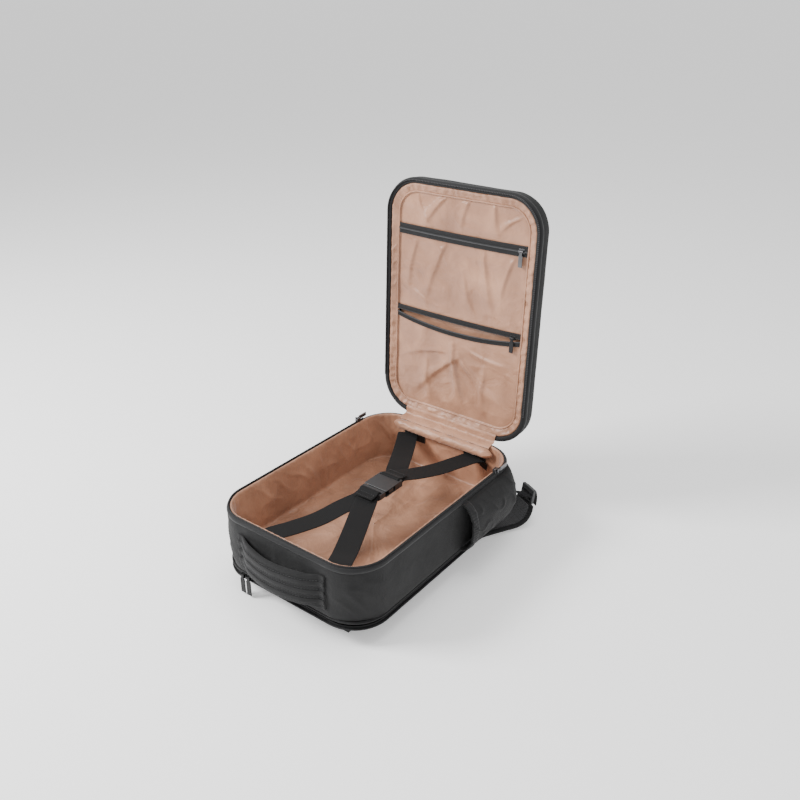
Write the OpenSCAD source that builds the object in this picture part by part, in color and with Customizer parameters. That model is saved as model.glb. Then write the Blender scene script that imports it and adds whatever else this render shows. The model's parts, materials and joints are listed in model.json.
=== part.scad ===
// Clamshell travel backpack, lying on its back with the front panel (lid) standing open.
// Units are millimetres, +Z is up. The origin is the centre of the middle back cushion's
// underside. -Y is the top end of the backpack (grab handle), +Y the bottom end (lid hinge).

/* [Body] */
// overall width across the rim
body_w = 300; // [260:5:340]
// overall length from the top end to the bottom end
body_l = 430; // [380:5:500]
// corner radius of the outline
corner_r = 60; // [40:5:80]
// thickness of the woven outer fabric
fabric_t = 2; // [1:0.5:3]
// thickness of the wall padding
foam_t = 4; // [2:0.5:8]
// thickness of the satin lining
lining_t = 1; // [0.6:0.1:1.5]
// clearance between neighbouring skins
skin_gap = 0.3; // [0.2:0.1:0.6]

/* [Levels] */
// underside of the harness panel, above the floor
harness_z = 14; // [10:1:20]
// how far the harness panel is tucked in from the outline
harness_inset = 14; // [8:1:24]
// lower edge of the laptop zip
laptop_zip_z = 29.3; // [26:0.1:34]
// lower edge of the main wall
wall_z = 43.7; // [40:0.1:50]
// upper edge of the main wall
wall_top = 134; // [110:1:160]
// height of the rim binding
binding_h = 6; // [4:0.5:8]
// how far the binding stands out of the wall
binding_out = 1.5; // [0.5:0.5:3]

/* [Lid] */
// angle of the lid above the closed position
open_angle = 92; // [0:1:170]
// depth of the lid from binding to outer face
lid_depth = 32; // [25:1:60]
// how far the pocket face is recessed from the binding
pocket_recess = 1; // [0:0.1:12]
// distance of the upper pocket zip from the lid's free edge
upper_zip_s = 88; // [60:1:120]
// distance of the lower pocket zip from the lid's free edge
lower_zip_s = 235; // [200:1:280]
// open mouth of the lower pocket
mouth_gap = 11; // [6:1:20]

/* [Zips] */
// height of each half of the rim zip tape
tape_h = 3.2; // [2:0.1:5]
// thickness of zip tape
tape_t = 1.2; // [0.8:0.1:2]
// gap between the two halves of a zip
chain_gap = 2; // [1.5:0.1:3]
// width of each half of a pocket zip tape
pocket_tape_w = 7; // [5:0.5:12]

/* [Packing straps] */
// width of the packing strap webbing
web_w = 38; // [25:1:50]
// thickness of the webbing
web_t = 1.6; // [1:0.1:2.5]
// height of the packing straps above the floor
strap_z = 116; // [90:1:130]
// width of the buckle
buckle_w = 46; // [40:1:56]

/* [Handle] */
// length of the grab handle
handle_l = 150; // [110:5:180]
// height of the grab handle
handle_h = 54; // [30:1:70]
// how far the handle bows out of the wall
handle_bow = 20; // [14:1:30]
// padding thickness of the handle
handle_t = 8; // [5:1:12]

/* [Side pocket] */
// how far the side pocket bulges
pocket_bulge = 26; // [15:1:35]
// length of the side pocket
pocket_l = 150; // [120:5:200]

/* [Shoulder straps] */
// width of the padded shoulder strap
pad_w = 62; // [50:1:75]
// straight length of the padded shoulder strap under the bag
pad_l = 285; // [240:1:320]
// thickness of the shoulder strap
pad_t = 12; // [8:1:14]
// outside radius of its turned-up end
curl_r = 45; // [35:1:55]
// toe-out angle of the shoulder strap
toe_out = 4.5; // [0:0.5:10]
// outward bend of the shoulder strap near its lower end
strap_bend = 24; // [0:1:40]
// radius of that bend along the middle of the strap
bend_r = 120; // [80:5:200]
// straight length of the strap beyond the bend
tip_l = 50; // [20:1:80]

/* [Hidden] */
$fn = 64;
eps = 0.01;
near_y = -body_l / 2;
far_y = body_l / 2;
rim_z = wall_top + binding_h;
zip_straight = body_l / 2 - corner_r;
hinge_z = rim_z + tape_h + chain_gap / 2;
// the hinge line lies just outside the bindings, so the lid can fold out flat
hinge_y = far_y + binding_out + skin_gap;
lid_tape_z = rim_z + tape_h + chain_gap;
lid_bind_z = lid_tape_z + tape_h;
lid_wall_z = lid_bind_z + binding_h;
lid_top_z = lid_bind_z + lid_depth;
pocket_z = lid_wall_z + pocket_recess;
lid_back_z = lid_top_z - 2.4 - skin_gap - foam_t - skin_gap;
pocket_inset = 22;
upper_zip_y = near_y + upper_zip_s;
lower_zip_y = near_y + lower_zip_s;
tape_inset = 1.2;
laptop_tape_inset = 3;
laptop_chain_z = (laptop_zip_z + wall_z) / 2;
piping_d = 3;
run_gap = 0.3;
foam_inset = fabric_t + skin_gap;
lining_inset = foam_inset + foam_t + skin_gap;
inner_inset = lining_inset + lining_t;
// strap layout: apex of each pair and the four anchors on the lining
buckle_x = 4;
buckle_y = 12;
near_apex = [buckle_x, buckle_y - 40];
far_apex = [buckle_x, buckle_y + 46];
near_left_end = [-50, near_y + 3];
near_right_end = [98, near_y + 3];
far_left_end = [-82, far_y];
far_right_end = [82, far_y];
anchor_x = 66;

// plan outline of the bag, drawn in from the rim by an inset
module outline(inset = 0) {
  w = body_w - 2 * inset;
  l = body_l - 2 * inset;
  r = corner_r - inset;
  square([w - 2 * r, l], center = true);
  square([w, l - 2 * r], center = true);
  for (sx = [-1, 1], sy = [-1, 1])
    translate([sx * (w / 2 - r), sy * (l / 2 - r)]) circle(r);
}

module ring(in_a, in_b, z0, z1) {
  translate([0, 0, z0]) linear_extrude(z1 - z0)
    difference() {
      outline(in_a);
      outline(in_b);
    }
}

module plate(inset, z0, z1) {
  translate([0, 0, z0]) linear_extrude(z1 - z0) outline(inset);
}

// round cord that follows the outline
module piping_ring(inset, z, d) {
  w = body_w - 2 * inset;
  l = body_l - 2 * inset;
  r = corner_r - inset;
  for (s = [-1, 1]) {
    translate([-w / 2 + r, s * l / 2, z]) rotate([0, 90, 0]) cylinder(h = w - 2 * r, d = d, $fn = 24);
    translate([s * w / 2, -l / 2 + r, z]) rotate([-90, 0, 0]) cylinder(h = l - 2 * r, d = d, $fn = 24);
  }
  for (k = [0:3])
    translate([[1, -1, -1, 1][k] * (w / 2 - r), [1, 1, -1, -1][k] * (l / 2 - r), z])
      rotate([0, 0, 90 * k]) rotate_extrude(angle = 90) translate([r, 0]) circle(d = d, $fn = 24);
}

// a box given by its low and high corners
module span(lo, hi) {
  translate(lo) cube([hi[0] - lo[0], hi[1] - lo[1], hi[2] - lo[2]]);
}

// turns a piece of the closed lid up to its open position
module opened() {
  translate([0, hinge_y, hinge_z]) rotate([-open_angle, 0, 0]) translate([0, -hinge_y, -hinge_z]) children();
}

// ---------------------------------------------------------------- harness and laptop bay

module harness_panel() {
  color("#2c2c2e") plate(harness_inset, harness_z, harness_z + 4);
}

flange_t = 1.3;
// soft wall of the laptop bay with the turned-out flange that carries the zip
module harness_wall() {
  color("#303032") {
    ring(harness_inset, harness_inset + fabric_t, harness_z + 4, laptop_zip_z);
    ring(0.6, harness_inset + 1, laptop_zip_z - flange_t, laptop_zip_z);
  }
}

cushion_w = 92;
cushion_l = 92;
cushion_pitch = 108;
module back_cushions() {
  color("#252527")
    for (k = [-1:1])
      translate([-cushion_w / 2, k * cushion_pitch - cushion_l / 2, 0]) cube([cushion_w, cushion_l, harness_z]);
}

yoke_half = 112;
module strap_yoke() {
  color("#2a2a2c") span([-yoke_half, near_y + 18, harness_z - 1.7], [yoke_half, near_y + 56, harness_z]);
}

module laptop_zip_tape() {
  color("#1c1c1e") {
    ring(laptop_tape_inset, laptop_tape_inset + tape_t, laptop_zip_z, laptop_chain_z - chain_gap / 2);
    ring(laptop_tape_inset, laptop_tape_inset + tape_t, laptop_chain_z + chain_gap / 2, wall_z);
  }
}

module laptop_piping() {
  color("#222224")
    for (z = [laptop_zip_z + piping_d / 2, wall_z - piping_d / 2]) piping_ring(0.5, z, piping_d);
}

// ---------------------------------------------------------------- main case

module case_floor() {
  color("#4a4a4c") plate(foam_inset, wall_z, wall_z + 4);
}

module main_wall() {
  color("#363638") ring(0, fabric_t, wall_z, wall_top);
}

module wall_foam() {
  color("#5a5a5c") ring(foam_inset, foam_inset + foam_t, wall_z + 4, wall_top);
}

module base_lining() {
  color("#bd9a86") {
    ring(lining_inset, inner_inset, wall_z + 4, wall_top);
    plate(lining_inset + eps, wall_z + 4, wall_z + 4 + lining_t);
  }
}

module rim_binding() {
  color("#1e1e20") ring(-binding_out, inner_inset, wall_top, rim_z);
}

// the rim zip runs round the top end and both sides, and stops before the hinge corners
module rim_tape(z0, z1) {
  difference() {
    ring(tape_inset, tape_inset + tape_t, z0, z1);
    span([-body_w, zip_straight, z0 - 1], [body_w, body_l, z1 + 1]);
  }
}

module base_zip_tape() {
  color("#1a1a1c") rim_tape(rim_z, rim_z + tape_h);
}

roll_r = 9;
roll_half = 104;
roll_gap = 2.5;
module hinge_roll() {
  color("#bd9a86")
    translate([-roll_half, far_y - inner_inset - roll_r - roll_gap, rim_z - roll_r - 0.5])
      rotate([0, 90, 0]) cylinder(h = 2 * roll_half, r = roll_r);
}

flap_half = 84;
flap_h = 3.4;
module hinge_flap() {
  color("#bd9a86") span([-flap_half, far_y - 6, rim_z + 0.2], [flap_half, far_y + 9, rim_z + 0.2 + flap_h]);
}

// ---------------------------------------------------------------- grab handle

handle_z = 61;
patch_w = 26;
patch_x = 72;
patch_t = 2.6;
handle_r = (pow(handle_l / 2, 2) + pow(handle_bow, 2)) / (2 * handle_bow);

// an upright bowed band that ends on the plane of the patches
module bowed_band(r_in, r_out, z0, z1) {
  back_y = near_y - patch_t;
  centre_y = back_y - handle_bow + handle_r;
  intersection() {
    translate([0, centre_y, z0]) linear_extrude(z1 - z0)
      difference() {
        circle(r_out, $fn = 160);
        circle(r_in, $fn = 160);
      }
    span([-body_w / 2, back_y - 60, z0], [body_w / 2, back_y, z1]);
  }
}

module grab_handle() {
  color("#39393b") bowed_band(handle_r - handle_t, handle_r, handle_z, handle_z + handle_h);
}

rib_h = 7;
rib_t = 1.6;
module handle_ribs() {
  color("#202022")
    for (k = [0:2])
      bowed_band(handle_r, handle_r + rib_t, handle_z + 8 + k * 16, handle_z + 8 + k * 16 + rib_h);
}

module handle_patches() {
  color("#333335")
    for (s = [-1, 1])
      span([s * patch_x - patch_w / 2, near_y - patch_t, handle_z - 4],
           [s * patch_x + patch_w / 2, near_y, handle_z + handle_h + 4]);
}

// ---------------------------------------------------------------- bottle pocket

pocket_z0 = 48;
pocket_z1 = 130;
pocket_far = far_y - 30;
pocket_near = pocket_far - pocket_l;
pocket_t = 2;

// plan of the bulging pocket: a straight panel with a quarter-round far end
module pocket_plan(grow = 0) {
  r = pocket_bulge - 4;
  translate([body_w / 2, pocket_near - 1])
    square([pocket_bulge - grow, pocket_l - r + 1]);
  translate([body_w / 2, pocket_far - r - eps]) intersection() {
    circle(r - grow, $fn = 96);
    square(r);
  }
  translate([body_w / 2, pocket_far - r - 2]) square([r - grow, 2]);
}

module bottle_pocket() {
  color("#37373a") difference() {
    translate([0, 0, pocket_z0]) linear_extrude(pocket_z1 - pocket_z0) pocket_plan(0);
    translate([0, 0, pocket_z0 + pocket_t]) linear_extrude(pocket_z1 - pocket_z0 - 2 * pocket_t)
      pocket_plan(pocket_t);
    span([body_w / 2 - 1, pocket_near - 2, pocket_z0 - 1],
         [body_w, pocket_near + 12, pocket_z1 + 1]);
  }
}

module pocket_hem() {
  x1 = body_w / 2 + pocket_bulge + 0.6;
  color("#222224") difference() {
    span([body_w / 2, pocket_near, pocket_z0], [x1, pocket_near + 12, pocket_z1]);
    span([body_w / 2 - 1, pocket_near - 1, pocket_z0 + pocket_t + 0.6],
         [x1 - pocket_t - 0.6, pocket_near + 13, pocket_z1 - pocket_t - 0.6]);
  }
}

// ---------------------------------------------------------------- packing straps and buckle

// flat webbing from one point to another, trimmed to the inside of the lining patches
module webbing(a, b, z, before) {
  d = b - a;
  length = norm(d);
  intersection() {
    translate([a[0], a[1], z]) rotate([0, 0, atan2(d[1], d[0])])
      translate([-before, -web_w / 2, 0]) cube([length + before, web_w, web_t]);
    plate(inner_inset + 2, z - 1, z + web_t + 1);
  }
}

anchor_w = 46;
anchor_h = 26;
anchor_t = 1.8;
module anchor_on_wall(x, s) {
  inner_y = body_l / 2 - inner_inset;
  y0 = s > 0 ? inner_y - anchor_t : -inner_y;
  span([x - anchor_w / 2, y0, strap_z - 16], [x + anchor_w / 2, y0 + anchor_t, strap_z - 16 + anchor_h]);
}

module strap_anchors() {
  color("#2a2a2c") {
    anchor_on_wall(near_left_end[0], -1);
    anchor_on_wall(anchor_x, -1);
    anchor_on_wall(-anchor_x, 1);
    anchor_on_wall(anchor_x, 1);
  }
}

strap_end_gap = 0.3;
// keeps the part of a strap pair on its own side of the buckle
module up_to_buckle(side) {
  limit = side > 0 ? buckle_y + housing_far : buckle_y - male_near;
  intersection() {
    children();
    if (side > 0)
      span([-body_w, limit + strap_end_gap, 0], [body_w, body_l, rim_z]);
    else
      span([-body_w, -body_l, 0], [body_w, limit - strap_end_gap, rim_z]);
  }
}

run_on = 24;
module near_strap_left() {
  color("#262628") up_to_buckle(-1) webbing(near_apex, near_left_end, strap_z, run_on);
}

module near_strap_right() {
  color("#262628") up_to_buckle(-1) webbing(near_apex, near_right_end, strap_z + web_t, run_on);
}

module far_strap_left() {
  color("#262628") up_to_buckle(1) webbing(far_apex, far_left_end, strap_z, run_on);
}

module far_strap_right() {
  color("#262628") up_to_buckle(1) webbing(far_apex, far_right_end, strap_z + web_t, run_on);
}

housing_far = 32;
male_near = 26;
buckle_h = 12;
buckle_z = strap_z + 4 - buckle_h / 2;
housing_l = 34;
shell_t = 1.8;
// the housing is a flat sleeve, open at the sides where the prong buttons are pressed
module buckle_female() {
  color("#161618") translate([buckle_x, buckle_y, buckle_z]) difference() {
    translate([-buckle_w / 2, -12, 0]) cube([buckle_w, housing_l + 10, buckle_h]);
    translate([-buckle_w / 2 + 3, -13, shell_t]) cube([buckle_w - 6, housing_l - 3, buckle_h - 2 * shell_t]);
    for (s = [-1, 1])
      translate([s * buckle_w / 2 - 4, -13, shell_t]) cube([8, 25, buckle_h - 2 * shell_t]);
    translate([-web_w / 2 - 0.6, 25, -1]) cube([web_w + 1.2, 3.4, buckle_h + 2]);
  }
}

male_root = -14;
module buckle_male() {
  color("#1a1a1c") translate([buckle_x, buckle_y, buckle_z]) {
    difference() {
      translate([-buckle_w / 2 + 1, -26, 1]) cube([buckle_w - 2, 13.6, buckle_h - 2]);
      translate([-web_w / 2 - 0.6, -22.5, -1]) cube([web_w + 1.2, 3.4, buckle_h + 2]);
    }
    translate([-4, male_root - eps + 1.4, 3]) cube([8, 26, buckle_h - 6]);
  }
}

prong_l = 27;
prong_x = 14;
module prong(s) {
  color("#222224") translate([buckle_x + s * prong_x, buckle_y + male_root + 2, buckle_z + 3]) {
    translate([-2, 0, 0]) cube([4, prong_l, buckle_h - 6]);
    translate([s > 0 ? 2 : -8.4, 9, 0]) cube([6.4, prong_l - 15, buckle_h - 6]);
  }
}

// ---------------------------------------------------------------- shoulder straps

tab_z = wall_z + 3;
tab_x = 112;
module corner_tab(s) {
  difference() {
    translate([s * tab_x, far_y, tab_z]) linear_extrude(3)
      polygon([[-22, -45], [22, -45], [12, 20], [-12, 20]]);
    plate(0, tab_z - 1, tab_z + 4);
  }
}

module corner_tabs() {
  color("#2c2c2e") for (s = [-1, 1]) corner_tab(s);
}

strap_root = [78, near_y + 44];
// places a piece at the sewn root of a shoulder strap, pointing along it
module at_root(s) {
  mirror([s > 0 ? 0 : 1, 0, 0]) translate([strap_root[0], strap_root[1], 0]) rotate([0, 0, -toe_out]) children();
}

// places a piece at the far end of the bend, pointing along the strap's tip
module at_tip() {
  translate([bend_r, pad_l, 0]) rotate([0, 0, -strap_bend]) translate([-bend_r, 0, 0]) children();
}

// a band of the shoulder strap: flat under the bag, bent outwards, then turned up beyond the bottom end
module strap_band(s, w, z0, z1, start = 0, turn = 80) {
  at_root(s) {
    translate([-w / 2, start, z0]) cube([w, pad_l - start, z1 - z0]);
    translate([bend_r, pad_l, z0]) rotate([0, 0, 180 - strap_bend])
      rotate_extrude(angle = strap_bend, $fn = 128) translate([bend_r - w / 2, 0]) square([w, z1 - z0]);
    at_tip() {
      translate([-w / 2, 0, z0]) cube([w, tip_l, z1 - z0]);
      translate([-w / 2, tip_l, curl_r]) rotate([0, 90, 0])
        rotate_extrude(angle = turn, $fn = 128) translate([curl_r - z1, 0]) square([z1 - z0, w]);
    }
  }
}

module strap_pad(s) {
  color("#2a2a2c") strap_band(s, pad_w, web_t, pad_t, start = 14);
}

module strap_webbing(s) {
  color("#3c3c3e") strap_band(s, 25, 0, web_t, start = 14, turn = 86);
}

lock_w = 36;
lock_h = 26;
// plastic adjuster standing at the turned-up end
module ladder_lock(s) {
  color("#141416") at_root(s) at_tip()
    translate([0, tip_l, curl_r]) rotate([80, 0, 0]) translate([0, 0, -curl_r + web_t + 0.5])
      difference() {
        translate([-lock_w / 2, 0.3, 0]) cube([lock_w, lock_h, 5]);
        for (k = [0, 1])
          translate([-lock_w / 2 + 4, 5 + k * 9.5, -1]) cube([lock_w - 8, 4.5, 7]);
      }
}

module lower_webbings() {
  color("#3c3c3e")
    for (s = [-1, 1])
      translate([s * (tab_x + 4), far_y + 21.3, tab_z]) rotate([32, 0, 0])
        translate([-12.5, 0, 0]) cube([25, 12, web_t]);
}

// ---------------------------------------------------------------- lid

module lid_panel() {
  color("#333336") opened() plate(0, lid_top_z - 2.4, lid_top_z);
}

module lid_foam() {
  color("#5a5a5c") opened() plate(foam_inset, lid_top_z - 2.4 - skin_gap - foam_t, lid_top_z - 2.4 - skin_gap);
}

module lid_gusset() {
  color("#363638") opened() ring(0, fabric_t, lid_wall_z, lid_top_z - 2.4);
}

module lid_binding() {
  color("#1e1e20") opened() ring(-binding_out, inner_inset, lid_bind_z, lid_wall_z);
}

module lid_zip_tape() {
  color("#1a1a1c") opened() rim_tape(lid_tape_z, lid_bind_z);
}

module lid_lining() {
  color("#bd9a86") opened() {
    ring(foam_inset, foam_inset + lining_t, lid_wall_z, lid_back_z);
    plate(foam_inset + eps, lid_back_z - lining_t, lid_back_z);
  }
}

module pocket_border() {
  color("#b8947f") opened()
    ring(foam_inset + lining_t + skin_gap, pocket_inset, pocket_z, pocket_z + tape_t);
}

// a slice of the pocket face between two lines across the lid
module face_slice(y0, y1, z0, z1, inset) {
  intersection() {
    plate(inset, z0, z1);
    span([-body_w, y0, z0 - 1], [body_w, y1, z1 + 1]);
  }
}

face_inset = pocket_inset + skin_gap;
upper_a = upper_zip_y - chain_gap / 2 - pocket_tape_w;
upper_b = upper_zip_y + chain_gap / 2 + pocket_tape_w;
lower_a = lower_zip_y - chain_gap / 2 - pocket_tape_w;
lower_b = lower_zip_y - chain_gap / 2 + mouth_gap + pocket_tape_w;

module top_panel() {
  color("#bf9c88") opened() face_slice(-body_l, upper_a, pocket_z, pocket_z + tape_t, face_inset);
}

// upper pocket with the seam that closes its bottom against the lining
module upper_pocket_panel() {
  color("#bf9c88") opened() {
    face_slice(upper_b, lower_a, pocket_z, pocket_z + tape_t, face_inset);
    face_slice(lower_a - 1.2, lower_a, pocket_z + tape_t - eps, lid_back_z - lining_t, face_inset);
  }
}

module lower_pocket_panel() {
  color("#bf9c88") opened() face_slice(lower_b, body_l, pocket_z, pocket_z + tape_t, face_inset);
}

module upper_zip_tapes() {
  color("#1c1c1e") opened() {
    face_slice(upper_a, upper_a + pocket_tape_w, pocket_z, pocket_z + tape_t, face_inset);
    face_slice(upper_b - pocket_tape_w, upper_b, pocket_z, pocket_z + tape_t, face_inset);
  }
}

module lower_zip_tapes() {
  color("#1c1c1e") opened() {
    face_slice(lower_a, lower_a + pocket_tape_w, pocket_z, pocket_z + tape_t, face_inset);
    face_slice(lower_b - pocket_tape_w, lower_b, pocket_z, pocket_z + tape_t, face_inset);
  }
}

// ---------------------------------------------------------------- zip sliders and pulls

slider_l = 10;
slider_w = 7.6;
plate_t = 1.8;
lug_out = 3.4;
lug_t = 1;
lug_x = 3.4;
pin_r = 0.7;
eye_r = 1;
eye_out_r = 1.65;
pull_t = 1.8;
neck_w = 5;

// distance of the pull's pin in front of the tape
function pin_y(side_gap, reach) = -side_gap - plate_t - reach + 1.6;

// the two plates of a slider and the web between them; it travels along X on a tape that
// lies at y = 0 .. tape_t, faces -Y, and the web runs through the chain gap at z = 0
module slider_plates(side_gap) {
  translate([-slider_l / 2, -side_gap - plate_t, -slider_w / 2]) cube([slider_l, plate_t, slider_w]);
  translate([-slider_l / 2, tape_t + side_gap, -slider_w / 2]) cube([slider_l, plate_t, slider_w]);
  translate([-slider_l / 2, -side_gap - eps, -0.6])
    cube([slider_l, tape_t + 2 * side_gap + 2 * eps, 1.2]);
}

// slider whose pull hangs on a pin along X
module slider(side_gap = run_gap, reach = lug_out) {
  slider_plates(side_gap);
  for (s = [-1, 1])
    translate([s * lug_x - lug_t / 2, -side_gap - plate_t - reach, -1.6])
      cube([lug_t, reach + eps, 3.2]);
  translate([-lug_x, pin_y(side_gap, reach), 0]) rotate([0, 90, 0]) cylinder(h = 2 * lug_x, r = pin_r, $fn = 24);
}

// pull that hangs from that pin
module pull(grip_w, pull_l, side_gap = run_gap, reach = lug_out) {
  translate([0, pin_y(side_gap, reach), 0]) difference() {
    union() {
      rotate([0, 90, 0]) cylinder(h = neck_w, r = eye_out_r, center = true, $fn = 32);
      translate([-neck_w / 2, -pull_t / 2, -8]) cube([neck_w, pull_t, 7]);
      translate([-grip_w / 2, -pull_t / 2, -pull_l]) cube([grip_w, pull_t, pull_l - 7]);
    }
    rotate([0, 90, 0]) cylinder(h = 2 * neck_w, r = eye_r, center = true, $fn = 24);
  }
}

// pocket zip hardware on the closed lid: faces down, hangs towards the hinge
module on_lid_zip(x, y) {
  opened() translate([x, y, pocket_z]) rotate([90, 0, 0]) children();
}

upper_slider_x = 116;
lower_slider_x = 112;
lid_pull_l = 26;

module upper_slider() {
  color("#56565a") on_lid_zip(upper_slider_x, upper_zip_y) slider();
}

module upper_pull() {
  color("#6a6a6e") on_lid_zip(upper_slider_x, upper_zip_y) pull(7, lid_pull_l);
}

module lower_slider() {
  color("#3a3a3c") on_lid_zip(lower_slider_x, lower_zip_y) slider();
}

module lower_pull() {
  color("#2a2a2c") on_lid_zip(lower_slider_x, lower_zip_y) pull(7, lid_pull_l);
}

// rim zip: the slider runs between the two bindings and the pull lies along the chain
main_slider_y = zip_straight - 16;
rim_lug_z = 2.8;
rim_neck_h = 3.6;
module on_main_zip(s) {
  mirror([s > 0 ? 0 : 1, 0, 0])
    translate([body_w / 2 - tape_inset, main_slider_y, hinge_z]) rotate([0, 0, 90]) children();
}

module main_slider(s) {
  color("#56565a") on_main_zip(s) {
    slider_plates(run_gap);
    for (k = [-1, 1])
      translate([-1.6, -run_gap - plate_t - lug_out, k * rim_lug_z - lug_t / 2])
        cube([3.2, lug_out + eps, lug_t]);
    translate([0, pin_y(run_gap, lug_out), -rim_lug_z]) cylinder(h = 2 * rim_lug_z, r = pin_r, $fn = 24);
  }
}

module main_pull(s) {
  color("#6a6a6e") on_main_zip(s) translate([0, pin_y(run_gap, lug_out), 0]) difference() {
    union() {
      cylinder(h = rim_neck_h, r = eye_out_r, center = true, $fn = 32);
      translate([1, -pull_t / 2, -rim_neck_h / 2]) cube([8, pull_t, rim_neck_h]);
      translate([8, -pull_t / 2, -3.5]) cube([20, pull_t, 7]);
    }
    cylinder(h = 10, r = eye_r, center = true, $fn = 24);
  }
}

// laptop zip: two sliders side by side at the start of the top-left corner
laptop_gap = 0.7;
laptop_reach = 4.4;
laptop_pull_l = 33;
laptop_a_x = -(body_w / 2 - corner_r);
laptop_b_x = laptop_a_x + 13;
module laptop_at(x) {
  translate([x, near_y + laptop_tape_inset, laptop_chain_z]) children();
}

module laptop_slider(x) {
  color("#2e2e30") laptop_at(x) slider(laptop_gap, laptop_reach);
}

module laptop_pull(x) {
  color("#242426") laptop_at(x) pull(9, laptop_pull_l, laptop_gap, laptop_reach);
}

harness_panel();
harness_wall();
back_cushions();
strap_yoke();
laptop_zip_tape();
laptop_piping();
case_floor();
main_wall();
wall_foam();
base_lining();
rim_binding();
base_zip_tape();
hinge_roll();
hinge_flap();
grab_handle();
handle_ribs();
handle_patches();
bottle_pocket();
pocket_hem();
strap_anchors();
near_strap_left();
near_strap_right();
far_strap_left();
far_strap_right();
buckle_female();
buckle_male();
prong(-1);  // prong_left
prong(1);  // prong_right
corner_tabs();
lower_webbings();
strap_pad(1);  // strap_pad_right
strap_webbing(1);  // strap_webbing_right
ladder_lock(1);  // ladder_lock_right
strap_pad(-1);  // strap_pad_left
strap_webbing(-1);  // strap_webbing_left
ladder_lock(-1);  // ladder_lock_left
lid_panel();
lid_foam();
lid_gusset();
lid_binding();
lid_zip_tape();
lid_lining();
pocket_border();
top_panel();
upper_pocket_panel();
lower_pocket_panel();
upper_zip_tapes();
lower_zip_tapes();
upper_slider();
upper_pull();
lower_slider();
lower_pull();
main_slider(1);  // main_slider_right
main_pull(1);  // main_pull_right
main_slider(-1);  // main_slider_left
main_pull(-1);  // main_pull_left
laptop_slider(laptop_a_x);  // laptop_slider_a
laptop_pull(laptop_a_x);  // laptop_pull_a
laptop_slider(laptop_b_x);  // laptop_slider_b
laptop_pull(laptop_b_x);  // laptop_pull_b
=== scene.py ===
"""Looks of the clamshell travel backpack: soft shells, satin lining, webbing, zips and buckle."""

import json
import math

import bpy
import numpy as np
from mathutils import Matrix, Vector, noise

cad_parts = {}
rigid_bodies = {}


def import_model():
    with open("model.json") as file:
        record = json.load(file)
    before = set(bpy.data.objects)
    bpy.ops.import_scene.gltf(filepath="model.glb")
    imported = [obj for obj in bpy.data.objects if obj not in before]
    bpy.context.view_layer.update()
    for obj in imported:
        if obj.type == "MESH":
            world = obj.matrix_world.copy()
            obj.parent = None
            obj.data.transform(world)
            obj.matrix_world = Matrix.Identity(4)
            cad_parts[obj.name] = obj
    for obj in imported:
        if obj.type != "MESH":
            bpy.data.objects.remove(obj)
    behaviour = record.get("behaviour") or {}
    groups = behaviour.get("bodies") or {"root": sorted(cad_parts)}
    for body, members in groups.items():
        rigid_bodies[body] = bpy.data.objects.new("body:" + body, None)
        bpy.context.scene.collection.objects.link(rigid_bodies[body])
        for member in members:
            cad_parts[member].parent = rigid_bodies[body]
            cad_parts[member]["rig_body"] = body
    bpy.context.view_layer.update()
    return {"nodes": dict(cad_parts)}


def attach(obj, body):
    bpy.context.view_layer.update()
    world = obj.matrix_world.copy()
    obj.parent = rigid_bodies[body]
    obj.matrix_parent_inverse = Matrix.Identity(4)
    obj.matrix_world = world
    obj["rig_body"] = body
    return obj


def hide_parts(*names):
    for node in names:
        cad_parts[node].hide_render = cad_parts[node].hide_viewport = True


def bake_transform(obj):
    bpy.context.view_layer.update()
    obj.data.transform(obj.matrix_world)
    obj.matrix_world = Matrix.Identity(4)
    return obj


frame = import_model()
nodes = frame["nodes"]
MM = 0.001

# Sizes of the bag in millimetres, the same as the model's.
W, L, R = 300.0, 430.0, 60.0
NEAR, FAR = -L / 2, L / 2
WALL_Z, WALL_TOP, RIM_Z = 43.7, 134.0, 140.0
HINGE_Y, HINGE_Z = 216.8, 144.2
LID_BIND, LID_WALL, LID_TOP = 148.4, 154.4, 180.4
POCKET_Z, FACE_INSET = 155.4, 22.0
OPEN = math.radians(92)
UPPER_ZIP, LOWER_ZIP = NEAR + 88, NEAR + 235
STRAP_Z = 116.0
BUCKLE = (4.0, 12.0)
# The buckle's webbing bars in y from its middle: -1 is the near half, 1 the far half.
BARS = {-1: -20.8, 1: 26.7}
# Where the packing straps are sewn to the lining: x, and -1 for the near wall or 1 for the far wall.
ANCHORS = ((-50, -1), (66, -1), (-66, 1), (66, 1))
# The rim zip ends this far along y, short of the hinge.
ZIP_END = 155.0


# ---- mesh helpers


def perimeter(count):
    """Evenly spaced points and outward normals round the bag's outline, from the middle of the near side."""
    w, l = W / 2 - R, L / 2 - R
    arc = math.pi * R / 2
    runs = [
        ("line", (0, NEAR), (1, 0), w, (0, -1)),
        ("arc", (w, -l), -90, arc, None),
        ("line", (W / 2, -l), (0, 1), 2 * l, (1, 0)),
        ("arc", (w, l), 0, arc, None),
        ("line", (w, FAR), (-1, 0), 2 * w, (0, 1)),
        ("arc", (-w, l), 90, arc, None),
        ("line", (-W / 2, l), (0, -1), 2 * l, (-1, 0)),
        ("arc", (-w, -l), 180, arc, None),
        ("line", (-w, NEAR), (1, 0), w, (0, -1)),
    ]
    total = sum(r[3] for r in runs)
    points, normals = [], []
    for i in range(count):
        s = total * i / count
        for kind, a, b, length, n in runs:
            if s <= length + 1e-9:
                break
            s -= length
        if kind == "line":
            points.append((a[0] + b[0] * s, a[1] + b[1] * s))
            normals.append(n)
        else:
            angle = math.radians(b) + s / R
            normals.append((math.cos(angle), math.sin(angle)))
            points.append((a[0] + R * math.cos(angle), a[1] + R * math.sin(angle)))
    return np.array(points), np.array(normals)


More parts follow.
